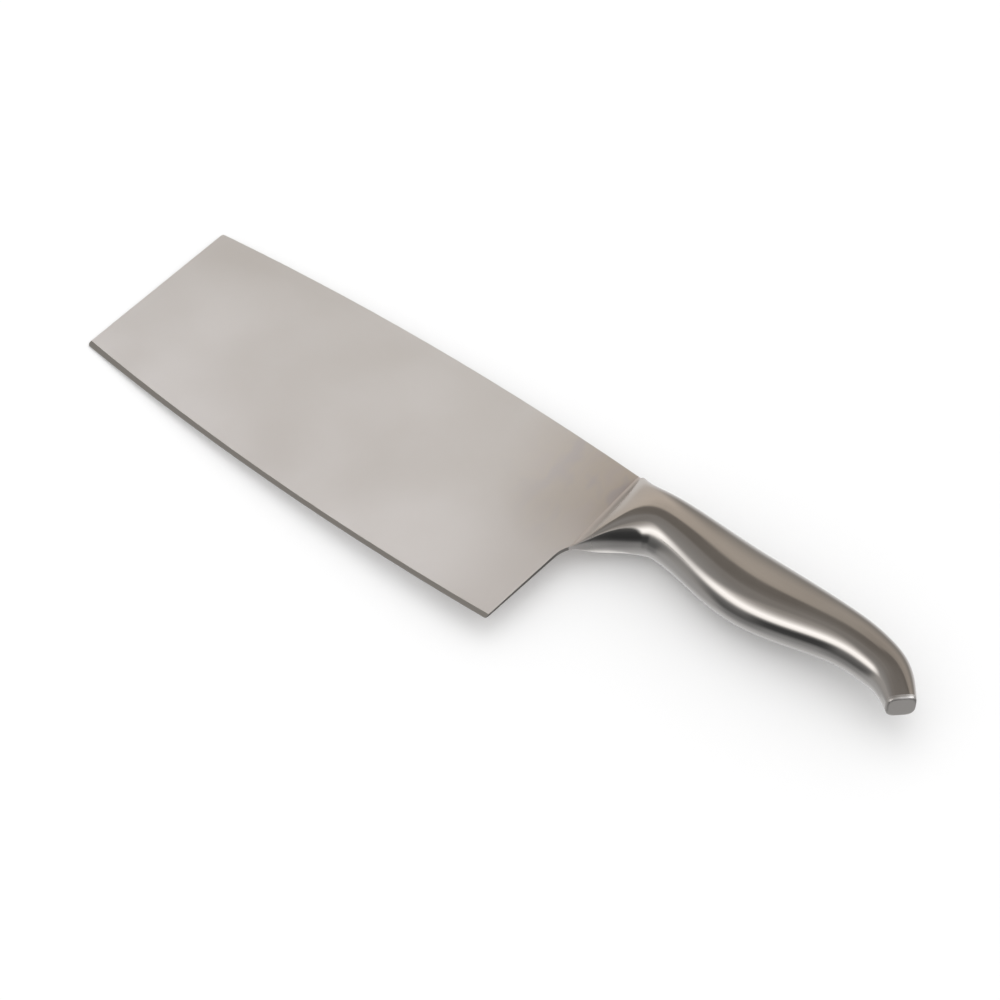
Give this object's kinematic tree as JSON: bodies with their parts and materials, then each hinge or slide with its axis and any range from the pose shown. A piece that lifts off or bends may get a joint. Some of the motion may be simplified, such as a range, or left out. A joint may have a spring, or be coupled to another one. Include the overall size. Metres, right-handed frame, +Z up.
{
  "type": "chinese cleaver",
  "caption": "All-steel cleaver: broad thin blade with a curved edge, solid bolster, and a hollow S-curved handle that ends in a short squared hook.",
  "frame": {"origin": "centre of the part's length and width, on the surface that the knife lies on", "axes": "+X from the blade's front edge towards the butt, +Y from the cutting edge towards the spine, +Z up, out of the blade's left face"},
  "size_m": [0.3314, 0.0858, 0.0236],
  "materials": {
    "blade_steel": "satin, finely ground",
    "bolster_steel": "polished stainless steel",
    "handle_steel": "polished stainless steel",
    "cap_steel": "flat ground stainless steel",
    "weld_steel": "weld metal ground flush, tinted by heat beside the blade"
  },
  "bodies": {
    "root": {"blade": "blade_steel", "blade_weld_left": "weld_steel", "blade_weld_right": "weld_steel", "bolster": "bolster_steel", "neck_weld": "weld_steel", "handle_shell_left": "handle_steel", "handle_shell_right": "handle_steel", "spine_seam_weld": "weld_steel", "belly_seam_weld": "weld_steel", "cap_weld": "weld_steel", "butt_cap": "cap_steel"}
  },
  "joints": []
}
